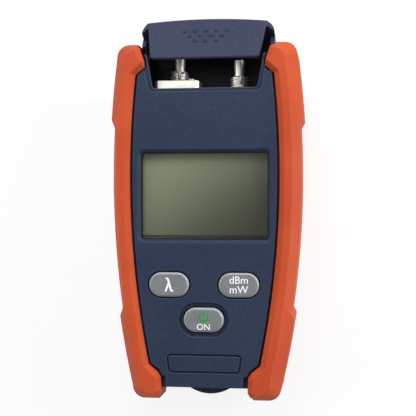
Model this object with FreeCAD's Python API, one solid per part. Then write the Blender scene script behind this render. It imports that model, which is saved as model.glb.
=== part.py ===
"""Hand-held fibre-optic power meter lying on its back, in millimetres.

X is across the face, Y runs towards the connector end and Z comes out of the face.
The origin is at the middle of the underside. Two moulded shells carry a display, three
keys, two fibre ports under a flip cover, two cells behind a sliding door, and two
rubber side grips. Each function below makes one piece, or one group of equal pieces.
"""
import FreeCAD, Part
import math
import os

V = FreeCAD.Vector

# Driving dimensions: the side of the face is one large arc, and every layer follows it
SIDE_HALF = 29.5          # half width of the face opening at its widest point
SIDE_PEAK_Y = 12.0        # where the face is widest
SIDE_RADIUS = 370.0       # radius of the side arc
FACE_Z = 34.0             # front face
CREST_Z = 35.2            # front of the grips
BACK_Z = 1.0              # back of the rear shell; the grips stand on Z = 0
PARTING_Z = 17.0          # joint of the two shells
LEDGE_Z = 31.5            # step beside the face that the grip lips cover
WALL = 1.8
FACE_WALL = 2.0

CORE_OUT = 2.3            # the shells reach this far under the grip lips
GRIP_OUT = 8.1            # grip surface, measured from the face opening
GRIP_TOP_Y = 64.6
GRIP_BOTTOM_Y = -76.8
GRIP_CORNER = 5.0
PAD_OUT = 9.6             # thicker pads at both ends of the grips
GROOVE = 0.8              # open groove between face and grips
CORE_TOP_Y = 60.0
CORE_BOTTOM_Y = -71.4

ORIGIN_SHIFT = 1.01       # puts the origin at the middle of the length, cover open

# Connector bay and flip cover
BAY_HALF = 27.2
LINER_HALF = 24.4         # black liner of the bay, between the cover's two arms
LINER_Z = (6.1, 24.0)
BULKHEAD_Y = (44.4, 46.4)
NOTCH_BOTTOM_Y = 46.4
NOTCH_HALF = 20.7         # half width of the notch at its bottom
NOTCH_SLOPE = 0.1875      # the notch widens by this much per millimetre
RIM = 1.5                 # width of the step that the cover closes onto
PANEL_LAP = 0.9           # how far the closed cover laps over that step
PIVOT_Y = 50.4
PIVOT_Z = 7.0
PIN_R = 1.5
PIN_CLEARANCE = 0.05
COVER_HALF = 26.8
COVER_WALL = 1.6
COVER_PANEL = 1.2         # thickness of the cover's front panel
COVER_TOP_WALL = 1.8
COVER_CORNER = 2.0        # rounding of the hood's two upright edges
COVER_TOP_Y = 62.8        # front upper edge of the closed cover
COVER_ARCH_R = 204.0
HOOD_SHOULDER_Z = 30.2    # the hood's sides slope inwards from here
HOOD_TOP_HALF = 24.2
HOOD_TOP_Z = 33.4
COVER_OPEN_DEG = 27.0     # how far the cover stands open at rest

# Display and keys
GLASS_HALF_X = 25.2
GLASS_LOW_Y = -13.2
GLASS_HIGH_Y = 21.1
BEZEL = 1.3
BEZEL_CORNER = 1.5
WINDOW_Z = (30.2, 31.5)
CELL_TOP_Z = 30.1
HOLDER_TOP_Z = 28.1
KEY_LENGTH = 15.8
KEY_WIDTH = 9.5
KEY_GAP = 0.65
KEY_TOP_Z = 34.7
KEY_FLANGE_Z = (28.4, 29.9)
KEY_WELL_Z = 30.0
KEY_SPOTS = {
    "key_wavelength": (-13.8, -30.8),
    "key_unit": (13.7, -30.8),
    "key_power": (-0.1, -44.5),
}
BOARD_Z = (22.4, 24.0)

# Fibre ports
PORT_Z = 17.0
MODULE_FRONT_Y = 40.4
DETECTOR_X = -12.2
LASER_X = 12.3
FLANGE_SIDE = 15.6
DETECTOR_FLANGE_Y = (46.4, 50.4)      # in front of the bay wall
LASER_FLANGE_Y = (42.4, 44.4)         # behind it
DETECTOR_TOPS = (54.8, 60.2)          # upper ends of collar and tube
LASER_TOPS = (52.4, 59.1)
SLOT_TURNS = {DETECTOR_X: 5.0, LASER_X: 16.0}    # the key slots of the two collars, in degrees
COLLAR_R = 4.0
TUBE_R = 2.25
FERRULE_R = 1.25
FERRULE_DEPTH = 11.0
PORT_SCREW_AT = 5.6       # from the port's axis, both across and in depth

# Cells, battery door and screws
CELL_R = 7.1
CELL_LENGTH = 49.2
CELL_X = 8.2
CELL_Y = -23.0
CELL_Z = 10.2
WELL_HALF_X = 15.6
WELL_Y = (-50.4, 4.0)
DOOR_HALF_X = 16.4
DOOR_TOP_Y = 6.0
DOOR_TONGUE = 1.4
SCREW_SPOTS = [(-22.5, 33.0), (22.5, 33.0), (-21.7, -56.0), (21.7, -56.0)]


def side_x(y, out=0.0):
    """Half width of the face opening at y, moved outwards by out."""
    centre_x = SIDE_HALF - SIDE_RADIUS
    return centre_x + math.sqrt((SIDE_RADIUS + out) ** 2 - (y - SIDE_PEAK_Y) ** 2)


def line(a, b):
    return Part.LineSegment(V(*a), V(*b)).toShape()


def side_arc(y_from, y_to, out, z, sign=1):
    """Part of the side arc between two heights, on the right (+1) or left (-1)."""
    y_mid = (y_from + y_to) / 2
    ends = [V(sign * side_x(y, out), y, z) for y in (y_from, y_mid, y_to)]
    return Part.Arc(*ends).toShape()


def upright_edges(shape):
    """Edges that start out parallel to the up axis."""
    return [e for e in shape.Edges if abs(e.tangentAt(e.FirstParameter).z) > 0.99]


def polygon(points, z):
    pts = [V(x, y, z) for x, y in points]
    return Part.Wire(Part.makePolygon(pts + pts[:1]))


def prism(points, z_low, z_high):
    return Part.Face(polygon(points, z_low)).extrude(V(0, 0, z_high - z_low))


def box(x_low, x_high, y_low, y_high, z_low, z_high):
    return Part.makeBox(x_high - x_low, y_high - y_low, z_high - z_low, V(x_low, y_low, z_low))


def tube_y(x, z, radius, y_low, y_high):
    """Round bar along Y."""
    return Part.makeCylinder(radius, y_high - y_low, V(x, y_low, z), V(0, 1, 0))


def stadium(x, y, length, width, z_low, z_high, grow=0.0):
    """Bar with two round ends, lying along X."""
    radius = width / 2 + grow
    reach = (length - width) / 2
    ends = [V(x + sx * reach, y + sy * radius, z_low) for sx, sy in ((-1, 1), (1, 1), (1, -1), (-1, -1))]
    right = Part.Arc(ends[1], V(x + reach + radius, y, z_low), ends[2]).toShape()
    left = Part.Arc(ends[3], V(x - reach - radius, y, z_low), ends[0]).toShape()
    top = Part.LineSegment(ends[0], ends[1]).toShape()
    low = Part.LineSegment(ends[2], ends[3]).toShape()
    return Part.Face(Part.Wire([top, right, low, left])).extrude(V(0, 0, z_high - z_low))


def mirrored(shape):
    return shape.mirror(V(0, 0, 0), V(1, 0, 0))


def core_outline(out, z, top_y, bottom_y, corner):
    """Closed outline of a housing layer: two side arcs, two straight ends, four round corners."""
    top_x = side_x(top_y - corner, out)
    low_x = side_x(bottom_y + corner, out)
    inset = corner * (1 - math.sqrt(0.5))
    edges = [
        side_arc(bottom_y + corner, top_y - corner, out, z),
        side_arc(top_y - corner, bottom_y + corner, out, z, -1),
        line((top_x - corner, top_y, z), (corner - top_x, top_y, z)),
        line((corner - low_x, bottom_y, z), (low_x - corner, bottom_y, z)),
    ]
    for sign in (1, -1):
        for end_x, end_y, turn in ((top_x, top_y, -1), (low_x, bottom_y, 1)):
            start = V(sign * end_x, end_y + turn * corner, z)
            middle = V(sign * (end_x - inset), end_y + turn * inset, z)
            edges.append(Part.Arc(start, middle, V(sign * (end_x - corner), end_y, z)).toShape())
    return Part.Wire(Part.__sortEdges__(edges))


def core_slab(z_low, z_high, out=CORE_OUT, shrink_ends=0.0, corner=3.0):
    outline = core_outline(out, z_low, CORE_TOP_Y - shrink_ends, CORE_BOTTOM_Y + shrink_ends, corner)
    return Part.Face(outline).extrude(V(0, 0, z_high - z_low))


def opening_points(out):
    """Corners of the opening between the grips, upper and lower ends, on the right."""
    upper = [(27.5, 51.6), (23.9, 54.6), (24.1, 57.2), (25.7, 62.0), (27.8, 65.0), (27.8, 80.0)]
    lower = [(22.1, -62.2), (18.4, -65.2), (17.3, -67.0), (17.0, -72.8), (18.8, -76.0), (18.8, -90.0)]
    shift_up = [(0.0, 0.35), (0.3, 1.0), (1.0, 0.2), (1.0, -0.2), (1.0, -0.4), (1.0, 0.0)]
    shift_low = [(0.0, -0.35), (0.55, -1.0), (1.0, -0.3), (1.0, 0.2), (1.0, 0.4), (1.0, 0.0)]
    upper = [(x + out * sx, y + out * sy) for (x, y), (sx, sy) in zip(upper, shift_up)]
    lower = [(x + out * sx, y + out * sy) for (x, y), (sx, sy) in zip(lower, shift_low)]
    upper[0] = (side_x(upper[0][1], out), upper[0][1])
    lower[0] = (side_x(lower[0][1], out), lower[0][1])
    return upper, lower


def opening_outline(out, z):
    """Closed outline of the opening between the two grips, moved outwards by out."""
    upper, lower = opening_points(out)
    edges = []
    for sign in (1, -1):
        chain = [(sign * x, y, z) for x, y in upper]
        edges += [line(a, b) for a, b in zip(chain, chain[1:])]
        chain = [(sign * x, y, z) for x, y in lower]
        edges += [line(a, b) for a, b in zip(chain, chain[1:])]
        edges.append(side_arc(lower[0][1], upper[0][1], out, z, sign))
    for points in (upper, lower):
        x, y = points[-1]
        edges.append(line((-x, y, z), (x, y, z)))
    return Part.Wire(Part.__sortEdges__(edges))


def rounded_prism(points, radius, z_low, z_high):
    """Upright prism whose side corners are rounded."""
    shape = prism(points, z_low, z_high)
    upright = [e for e in shape.Edges if abs(e.tangentAt(e.FirstParameter).z) > 0.99]
    return shape.makeFillet(radius, upright)


def rounded_wire(points, radius, z):
    """Closed outline with rounded corners, level at z."""
    solid = rounded_prism(points, radius, z, z + 1.0)
    base = min(solid.Faces, key=lambda face: face.CenterOfMass.z)
    return base.OuterWire


def xz_prism(points, y_low, y_high):
    """Prism along Y with an outline in X and Z."""
    pts = [V(x, y_low, z) for x, z in points]
    return Part.Face(Part.Wire(Part.makePolygon(pts + pts[:1]))).extrude(V(0, y_high - y_low, 0))


def shoulders(half, shoulder_z, top_half, top_z):
    """Outline in X and Z of a box whose two upper corners are cut away."""
    side = [(half, shoulder_z), (top_half, top_z)]
    return [(-half, -1.0), (half, -1.0)] + side + [(-x, z) for x, z in reversed(side)]


def tapered_points(y_low, y_high, half_low, half_high):
    return [(-half_low, y_low), (half_low, y_low), (half_high, y_high), (-half_high, y_high)]


def opening_prism(out, z_low, z_high):
    return Part.Face(opening_outline(out, z_low)).extrude(V(0, 0, z_high - z_low))


def notch_prism(grow, z_low, z_high, radius):
    """Cut in the top of the face that opens the connector bay to the front."""
    y_low = NOTCH_BOTTOM_Y - grow
    y_high = CORE_TOP_Y + 8.0
    half_high = NOTCH_HALF + grow + NOTCH_SLOPE * (y_high - NOTCH_BOTTOM_Y)
    return rounded_prism(tapered_points(y_low, y_high, NOTCH_HALF + grow, half_high), radius, z_low, z_high)


def screw_boss(x, y, z_low, z_high, outer=3.0):
    return Part.makeCylinder(outer, z_high - z_low, V(x, y, z_low))


def display_rect(grow):
    x = GLASS_HALF_X + grow
    low_y, high_y = GLASS_LOW_Y - grow, GLASS_HIGH_Y + grow
    return [(-x, low_y), (x, low_y), (x, high_y), (-x, high_y)]


def face_layer():
    """Raised front face with the open groove all round it."""
    layer = opening_prism(-GROOVE, LEDGE_Z, FACE_Z)
    layer = layer.common(box(-40, 40, CORE_BOTTOM_Y + 0.4, CORE_TOP_Y - 0.2, LEDGE_Z, FACE_Z))
    for sign in (1, -1):
        x_low, x_high = sorted((sign * 15.4, sign * 20.0))
        layer = layer.cut(box(x_low, x_high, CORE_BOTTOM_Y, -66.7, LEDGE_Z, FACE_Z))
    rim = [e for e in layer.Edges if abs(e.BoundBox.ZMin - FACE_Z) < 1e-6]
    return layer.makeChamfer(0.4, rim)


def front_shell():
    """Moulded front half: face, display bezel, key wells, screw bosses and the open bay."""
    shell = core_slab(PARTING_Z, LEDGE_Z).fuse(face_layer())
    inside = CORE_OUT - WALL
    hollow = core_slab(PARTING_Z - 1, LEDGE_Z - WALL, inside, WALL)
    hollow = hollow.fuse(opening_prism(-GROOVE - WALL, LEDGE_Z - WALL - 1, FACE_Z - FACE_WALL)
                         .common(box(-40, 40, CORE_BOTTOM_Y + 4, BULKHEAD_Y[0], 0, 40)))
    shell = shell.cut(hollow)
    shell = shell.cut(box(-BAY_HALF, BAY_HALF, BULKHEAD_Y[0], CORE_TOP_Y + 9, PARTING_Z - 1, LEDGE_Z))
    shell = shell.cut(notch_prism(0.0, LEDGE_Z - 1, FACE_Z + 1, 1.6))
    shell = shell.cut(notch_prism(RIM, FACE_Z - COVER_PANEL - 0.6, FACE_Z + 1, 2.6))

    for x, y in SCREW_SPOTS:
        shell = shell.fuse(screw_boss(x, y, PARTING_Z, BOARD_Z[1]))
        roof_z = FACE_Z - FACE_WALL if y > 0 else LEDGE_Z - WALL
        shell = shell.fuse(screw_boss(x, y, BOARD_Z[1], roof_z + 0.3, 3.7))
    for x, y in KEY_SPOTS.values():
        half_x, half_y = KEY_LENGTH / 2 + KEY_GAP + 1.2, KEY_WIDTH / 2 + KEY_GAP + 1.2
        well = box(x - half_x, x + half_x, y - half_y, y + half_y, KEY_WELL_Z, FACE_Z - FACE_WALL)
        shell = shell.fuse(well)
    for x, y in KEY_SPOTS.values():
        shell = shell.cut(stadium(x, y, KEY_LENGTH, KEY_WIDTH, KEY_WELL_Z - 1, FACE_Z + 1, KEY_GAP))
    x, y = KEY_SPOTS["key_power"]
    shell = shell.cut(stadium(x, y, KEY_LENGTH, KEY_WIDTH, FACE_Z - 1.0, FACE_Z + 1, 2.0))

    shell = shell.fuse(prism(display_rect(3.0), WINDOW_Z[0], FACE_Z - FACE_WALL + 0.1))
    bezel_low = rounded_wire(display_rect(0.0), BEZEL_CORNER, FACE_Z - 1.0)
    bezel_high = rounded_wire(display_rect(BEZEL), BEZEL_CORNER + BEZEL, FACE_Z + 0.05)
    shell = shell.cut(Part.makeLoft([bezel_low, bezel_high], True, True))
    shell = shell.cut(rounded_prism(display_rect(0.0), BEZEL_CORNER, WINDOW_Z[0] - 1, FACE_Z))
    shell = shell.cut(prism(display_rect(2.0), WINDOW_Z[0] - 1, WINDOW_Z[1]))

    plate = tapered_points(-65.4, -57.9, 14.2, 15.0)
    inner_plate = tapered_points(-64.6, -58.7, 13.4, 14.2)
    groove = rounded_prism(plate, 1.8, FACE_Z - 0.9, FACE_Z + 1)
    shell = shell.cut(groove.cut(rounded_prism(inner_plate, 1.0, FACE_Z - 1, FACE_Z + 2)))
    for x, y in SCREW_SPOTS:
        shell = shell.cut(screw_boss(x, y, PARTING_Z - 1, 28.0, 1.1))
    return shell.removeSplitter()


def lanyard_bar():
    """Curved bar across the bottom end, with a slot for a wrist strap behind it."""
    def crescent(half, depth, z_low, z_high):
        ends = [V(-half, CORE_BOTTOM_Y + 1, z_low), V(half, CORE_BOTTOM_Y + 1, z_low)]
        low = V(0, CORE_BOTTOM_Y - depth, z_low)
        outline = [Part.Arc(ends[0], low, ends[1]).toShape(), Part.LineSegment(*reversed(ends)).toShape()]
        return Part.Face(Part.Wire(outline)).extrude(V(0, 0, z_high - z_low))

    bar = crescent(12.5, 5.4, 9.0, 15.0)
    slot = rounded_prism([(-4.5, -75.0), (4.5, -75.0), (4.5, -72.6), (-4.5, -72.6)], 0.9, 8.0, 16.0)
    return bar.cut(slot)


def rear_shell():
    """Moulded back half: battery well, door rails, cover pivots and the strap bar."""
    bevel = 1.2
    back_edge = [
        core_outline(CORE_OUT - bevel, BACK_Z, CORE_TOP_Y - bevel, CORE_BOTTOM_Y + bevel, 3.0),
        core_outline(CORE_OUT, BACK_Z + bevel, CORE_TOP_Y, CORE_BOTTOM_Y, 3.0),
    ]
    shell = core_slab(BACK_Z + bevel, PARTING_Z).fuse(Part.makeLoft(back_edge, True, True))
    floor_z = BACK_Z + WALL
    shell = shell.cut(core_slab(floor_z, PARTING_Z + 1, CORE_OUT - WALL, WALL))
    bay_end_y = CORE_TOP_Y - WALL - 1.6
    shell = shell.cut(box(-BAY_HALF, BAY_HALF, BULKHEAD_Y[0], bay_end_y, floor_z, PARTING_Z + 1))
    shell = shell.cut(box(-BAY_HALF, BAY_HALF, BULKHEAD_Y[0], CORE_TOP_Y + 1, 6.0, PARTING_Z + 1))
    opening = box(-WELL_HALF_X, WELL_HALF_X, *WELL_Y, 0, PARTING_Z + 1)
    well_x = WELL_HALF_X + 1.4
    well = box(-well_x, well_x, WELL_Y[0] - 1.4, WELL_Y[1] + 1.4, floor_z, PARTING_Z)
    well = well.fuse(box(-22, 22, CORE_BOTTOM_Y + 0.9, DOOR_TOP_Y + 2.0, floor_z - 0.3, 4.4))
    shell = shell.fuse(well.cut(opening))
    for x, y in SCREW_SPOTS:
        shell = shell.fuse(screw_boss(x, y, floor_z - 0.5, PARTING_Z, 3.4))
    shell = shell.fuse(lanyard_bar())

    door_slot = DOOR_HALF_X + 0.3
    tongue_slot = door_slot + DOOR_TONGUE
    shell = shell.cut(box(-door_slot, door_slot, CORE_BOTTOM_Y - 1, DOOR_TOP_Y + 0.3, 0, 1.7))
    shell = shell.cut(box(-tongue_slot, tongue_slot, CORE_BOTTOM_Y - 1, DOOR_TOP_Y + 0.3, 1.7, 2.9))
    shell = shell.cut(opening)
    for x, y in SCREW_SPOTS:
        shell = shell.cut(screw_boss(x, y, 0, 4.0, 2.3)).cut(screw_boss(x, y, 0, PARTING_Z + 1, 1.3))
    shell = shell.cut(box(-BAY_HALF, BAY_HALF, CORE_TOP_Y - 1.6, CORE_TOP_Y + 1, 0, 6.5))
    for sign in (1, -1):
        x_low, x_high = sorted((sign * 24.8, sign * BAY_HALF))
        shell = shell.cut(box(x_low, x_high, 46.8, CORE_TOP_Y + 1, 0, 6.5))
        pivot = V(sign * (BAY_HALF - 1), PIVOT_Y, PIVOT_Z)
        shell = shell.cut(Part.makeCylinder(PIN_R + PIN_CLEARANCE, 2.9, pivot, V(sign, 0, 0)))
    return shell.removeSplitter()


def grip_envelope(out):
    """Closed form of both grips together, with sloped front and back edges."""
    levels = [(0.0, out - 2.5, 2.5), (3.5, out, 0.0), (27.0, out, 0.0), (CREST_Z, 5.0, 3.1)]
    wires = [core_outline(o, z, GRIP_TOP_Y - s, GRIP_BOTTOM_Y + s, GRIP_CORNER) for z, o, s in levels]
    return Part.makeLoft(wires, True, True)


def grips():
    """Two soft rubber bumpers that wrap the long sides and hook over the four corners."""
    body = grip_envelope(GRIP_OUT)
    pads = grip_envelope(PAD_OUT)
    upper = [(20.3, 6.9), (43.3, 41.9), (43.3, 90), (0, 90), (0, 6.9)]
    lower = [(34.9 + 4.0, -43.9 - 7.0), (34.9 - 4.0 * 5, -43.9 + 7.0 * 5), (0, -8.9), (0, -90), (38.9, -90)]
    for points in (upper, lower):
        wedge = prism(points, -1, CREST_Z + 1)
        body = body.fuse(pads.common(wedge)).fuse(pads.common(mirrored(wedge)))
    body = body.cut(core_slab(-1.0, LEDGE_Z))
    body = body.cut(opening_prism(0.0, -2.0, CREST_Z + 2))
    flare_ends = [opening_outline(0.0, CREST_Z - 1.8), opening_outline(2.2, CREST_Z + 0.2)]
    flare = Part.makeLoft(flare_ends, True, True)
    body = body.cut(flare)
    body = body.cut(box(-BAY_HALF - 0.2, BAY_HALF + 0.2, 55, 90, -1, HOOD_SHOULDER_Z + 0.8))
    relief = shoulders(BAY_HALF + 0.2, HOOD_SHOULDER_Z, HOOD_TOP_HALF + 0.1, FACE_Z)
    body = body.cut(xz_prism(relief, 59.9, 90))
    body = body.cut(xz_prism([(-22.0, -2.0), (22.0, -2.0), (17.0, 20.0), (-17.0, 20.0)], -90, -60))
    right = body.common(box(0, 60, -100, 100, -5, 50)).removeSplitter()
    return right, mirrored(right)


def yz_plate(points, x_low, x_high):
    """Plate with an outline in Y and Z, standing between two X values."""
    pts = [V(x_low, y, z) for y, z in points]
    return Part.Face(Part.Wire(Part.makePolygon(pts + pts[:1]))).extrude(V(x_high - x_low, 0, 0))


def octagon(x, y, radius):
    turns = [math.radians(22.5 + 45 * k) for k in range(8)]
    return [(x + radius * math.cos(t), y + radius * math.sin(t)) for t in turns]


def cover_cheek():
    """Side arm of the cover, from the pivot pin up to the top wall, on the right."""
    inner_x = COVER_HALF - COVER_WALL
    pivot = V(inner_x, PIVOT_Y, PIVOT_Z)
    outline = [(50.4, 3.8), (58.0, 7.0), (63.0, 7.0), (63.0, 26.5), (56.0, 27.5), (47.3, 8.0)]
    arm = yz_plate(outline, inner_x, COVER_HALF)
    arm = arm.common(Part.makeCylinder(22.0, COVER_WALL, pivot, V(1, 0, 0)))
    arm = arm.fuse(Part.makeCylinder(3.2, COVER_WALL, pivot, V(1, 0, 0)))
    return arm.fuse(Part.makeCylinder(PIN_R, COVER_WALL + 2.2, pivot, V(1, 0, 0)))


def dust_cover():
    """Flip cover: front panel, arched top wall and two arms, moulded in one piece."""
    arch_centre = V(0, COVER_TOP_Y + 1.4 - COVER_ARCH_R, 0)
    panel_low_y = NOTCH_BOTTOM_Y - PANEL_LAP
    low_half = NOTCH_HALF + PANEL_LAP
    top_half = low_half + 2.4
    arch = Part.makeCylinder(COVER_ARCH_R, 60, arch_centre, V(0, 0, 1))
    hood = box(-COVER_HALF, COVER_HALF, 60.3, 66.0, PIVOT_Z, HOOD_TOP_Z).common(arch)
    corners = [e for e in upright_edges(hood) if e.BoundBox.YMin > 61]
    hood = hood.makeFillet(COVER_CORNER, corners)
    hood = hood.common(xz_prism(shoulders(COVER_HALF, HOOD_SHOULDER_Z, HOOD_TOP_HALF, HOOD_TOP_Z), 50, 70))
    panel_points = tapered_points(panel_low_y, 66.0, low_half, top_half + 0.4)
    panel = prism(panel_points, 28.0, FACE_Z).common(arch)
    bottom_corners = [e for e in upright_edges(panel) if e.BoundBox.YMin < 50]
    panel = panel.makeFillet(1.6, bottom_corners)
    front_rim = [e for e in panel.Edges if e.BoundBox.ZMin > FACE_Z - 1e-3]
    panel = panel.makeChamfer(0.4, front_rim)

    inner_x = COVER_HALF - COVER_WALL
    inner_arch = Part.makeCylinder(COVER_ARCH_R - COVER_TOP_WALL, 60, arch_centre, V(0, 0, 1))
    inside = shoulders(inner_x, HOOD_SHOULDER_Z - 0.6, inner_x - 2.5, FACE_Z - COVER_PANEL)
    hollow = xz_prism(inside, 40.0, 70.0).common(inner_arch)
    under = box(-40, 40, 40.0, COVER_TOP_Y - 2.6, 0.0, FACE_Z - COVER_PANEL)
    cover = hood.fuse(panel).cut(hollow).cut(under)
    cheek = cover_cheek().common(arch)
    cover = cover.fuse(cheek).fuse(mirrored(cheek))
    for row, count in enumerate((5, 4, 3)):
        for place in range(count):
            x = (place - (count - 1) / 2) * 4.3
            cover = cover.fuse(prism(octagon(x, 58.2 - 2.4 * row, 0.75), FACE_Z - 0.1, FACE_Z + 0.3))
    cover = cover.removeSplitter()
    cover.rotate(V(0, PIVOT_Y, PIVOT_Z), V(1, 0, 0), -COVER_OPEN_DEG)
    return cover


def lcd_window():
    """Clear acrylic window glued behind the bezel."""
    return prism(display_rect(1.7), *WINDOW_Z)


def window_seal():
    """Black rubber strip that lines the display opening above the window."""
    outer = rounded_prism(display_rect(-0.03), BEZEL_CORNER - 0.03, WINDOW_Z[1] + 0.02, FACE_Z - 1.1)
    inner = rounded_prism(display_rect(-0.4), BEZEL_CORNER - 0.4, WINDOW_Z[1] - 1, FACE_Z)
    return outer.cut(inner)


def lcd_cell():
    """Display glass: a large lower plate and a smaller upper one, bonded together."""
    middle_z = (HOLDER_TOP_Z + CELL_TOP_Z) / 2
    lower = prism(display_rect(0.6), HOLDER_TOP_Z, middle_z)
    x = GLASS_HALF_X + 0.6
    upper = box(-x, x, GLASS_LOW_Y + 1.6, GLASS_HIGH_Y + 0.6, middle_z, CELL_TOP_Z)
    return lower.fuse(upper).removeSplitter()


def lcd_holder():
    """Open frame that carries the display glass on four legs above the board."""
    low_y, high_y = GLASS_LOW_Y - 0.6, GLASS_HIGH_Y + 0.6
    x = GLASS_HALF_X + 0.6
    frame_low_z = HOLDER_TOP_Z - 3.0
    frame = box(-x, x, low_y, high_y, frame_low_z, HOLDER_TOP_Z)
    frame = frame.cut(box(-x + 2.5, x - 2.5, low_y + 5.0, high_y - 2.5, 24, 30))
    frame = frame.cut(box(-x + 3.0, x - 3.0, low_y + 1.0, low_y + 3.2, 24, 30))
    for leg_x in (0.1 - x, x - 2.1):
        for leg_y in (low_y + 5.0, high_y - 3.0):
            frame = frame.fuse(box(leg_x, leg_x + 2.0, leg_y, leg_y + 2.0, BOARD_Z[1], frame_low_z + 0.1))
    return frame


def contact_strip():
    """Conductive rubber strip from the board up to the edge of the display glass."""
    low_y = GLASS_LOW_Y - 0.6
    x = GLASS_HALF_X + 0.6 - 3.3
    return box(-x, x, low_y + 1.2, low_y + 3.0, BOARD_Z[1], HOLDER_TOP_Z)


def backlight():
    """Moulded light guide under the display glass."""
    low_y, high_y = GLASS_LOW_Y - 0.6, GLASS_HIGH_Y + 0.6
    x = GLASS_HALF_X - 2.1
    return box(-x, x, low_y + 5.2, high_y - 2.7, HOLDER_TOP_Z - 2.5, HOLDER_TOP_Z)


def main_board():
    """Circuit board under the display and keys, cut away round the screw bosses."""
    outline = core_outline(-1.2, BOARD_Z[0], 40.0, -66.0, 3.0)
    board = Part.Face(outline).extrude(V(0, 0, BOARD_Z[1] - BOARD_Z[0]))
    for x, y in SCREW_SPOTS:
        board = board.cut(screw_boss(x, y, BOARD_Z[0] - 1, BOARD_Z[1] + 1, 3.3))
    return board


def board_parts():
    """Processor, two amplifiers, a connector and a sounder soldered to the board's underside."""
    bodies = [(-4.5, 5.5, 9.0, 19.0, 1.4), (-17.0, -12.0, 20.0, 24.0, 1.5), (12.0, 17.0, 20.0, 24.0, 1.5),
              (-5.0, 5.0, -60.5, -56.5, 3.0)]
    group = [box(x0, x1, y0, y1, BOARD_Z[0] - h, BOARD_Z[0]) for x0, x1, y0, y1, h in bodies]
    group.append(Part.makeCylinder(4.5, 3.2, V(-14.0, 11.5, BOARD_Z[0] - 3.2)))
    return Part.makeCompound(group)


def key(name):
    """Key cap with a crowned, bevelled top and a flange that holds it under the face."""
    x, y = KEY_SPOTS[name]
    cap = stadium(x, y, KEY_LENGTH, KEY_WIDTH, KEY_FLANGE_Z[0], KEY_TOP_Z)
    top_rim = [e for e in cap.Edges if e.BoundBox.ZMin > KEY_TOP_Z - 1e-3]
    cap = cap.makeChamfer(0.7, top_rim)
    reach_x = KEY_LENGTH / 2 + KEY_GAP + 0.9
    reach_y = KEY_WIDTH / 2 + KEY_GAP + 0.9
    cap = cap.fuse(box(x - reach_x, x + reach_x, y - reach_y, y + reach_y, *KEY_FLANGE_Z))
    return cap.removeSplitter()


def key_boot(name):
    """Silicone boot that returns one key: an open tapered sleeve between board and key."""
    x, y = KEY_SPOTS[name]
    z_low, z_high = BOARD_Z[1], KEY_FLANGE_Z[0]

    def frustum(low_x, low_y, high_x, high_y, height):
        body = Part.makeWedge(-low_x, 0, -low_y, -high_y, -high_x, low_x, height, low_y, high_y, high_x)
        body.rotate(V(0, 0, 0), V(1, 0, 0), 90)
        body.translate(V(x, y, z_low))
        return body

    return frustum(7.4, 5.2, 5.0, 3.4, z_high - z_low).cut(frustum(6.6, 4.4, 4.2, 2.6, z_high - z_low - 0.8))


def dome_switches():
    """Metal snap domes on the board, one under each key."""
    domes = [Part.makeCylinder(3.4, 0.4, V(x, y, BOARD_Z[1])) for x, y in KEY_SPOTS.values()]
    return Part.makeCompound(domes)


def bulkhead():
    """Black liner of the connector bay: the wall that carries the ports, a floor and two cheeks."""
    wall = box(-BAY_HALF + 0.1, BAY_HALF - 0.1, *BULKHEAD_Y, BACK_Z + WALL, LEDGE_Z)
    for x in (DETECTOR_X, LASER_X):
        wall = wall.cut(tube_y(x, PORT_Z, COLLAR_R, 40, 50))
    end_y = BULKHEAD_Y[1] + 20.0
    floor = box(-LINER_HALF, LINER_HALF, BULKHEAD_Y[0], end_y, LINER_Z[0], LINER_Z[0] + 1.0)
    for sign in (1, -1):
        x_low, x_high = sorted((sign * (LINER_HALF - 1.2), sign * LINER_HALF))
        floor = floor.fuse(box(x_low, x_high, BULKHEAD_Y[0], end_y, *LINER_Z))
    arch_r = COVER_ARCH_R - COVER_TOP_WALL - 0.7
    arch_centre = V(0, COVER_TOP_Y + 1.4 - COVER_ARCH_R, 0)
    return wall.fuse(floor.common(Part.makeCylinder(arch_r, 60, arch_centre))).removeSplitter()


def fibre_port(x, flange_y, tops):
    """Nickel-plated adapter: square flange, threaded collar and a tube for a 2.5 mm ferrule."""
    collar_top, tube_top = tops
    half = FLANGE_SIDE / 2
    flange = box(x - half, x + half, *flange_y, PORT_Z - half, PORT_Z + half)
    upright = [e for e in flange.Edges if abs(e.tangentAt(e.FirstParameter).y) > 0.99]
    flange = flange.makeChamfer(1.0, upright)
    port = flange.fuse(tube_y(x, PORT_Z, COLLAR_R - 0.05, MODULE_FRONT_Y, collar_top))
    port = port.fuse(tube_y(x, PORT_Z, TUBE_R, collar_top - 1, tube_top))
    mouth = [e for e in port.Edges if e.BoundBox.YMin > tube_top - 1e-3]
    port = port.makeChamfer(0.3, mouth)
    slot = box(x - 0.6, x + 0.6, collar_top - 3.4, collar_top + 0.01, PORT_Z + 3.0, PORT_Z + 5.0)
    slot.rotate(V(x, 0, PORT_Z), V(0, 1, 0), SLOT_TURNS[x])
    port = port.cut(slot)
    return port.cut(tube_y(x, PORT_Z, FERRULE_R, tube_top - FERRULE_DEPTH, tube_top + 1)).removeSplitter()


def fibre_module(x, radius, length):
    """Sealed metal can with its lens end in the back of the port, and its lead block."""
    can = tube_y(x, PORT_Z, radius, MODULE_FRONT_Y - length, MODULE_FRONT_Y)
    back_y = MODULE_FRONT_Y - length
    return can.fuse(box(x - 2.2, x + 2.2, back_y - 3.0, back_y, PORT_Z - 1.2, PORT_Z + 1.2))


def screw(head_r, head_h, shank_r, length, seat, direction):
    """Plain screw: a cylindrical head on its seat and a shank below it."""
    head = Part.makeCylinder(head_r, head_h, seat, direction)
    return head.fuse(Part.makeCylinder(shank_r, length, seat, direction * -1))


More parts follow.
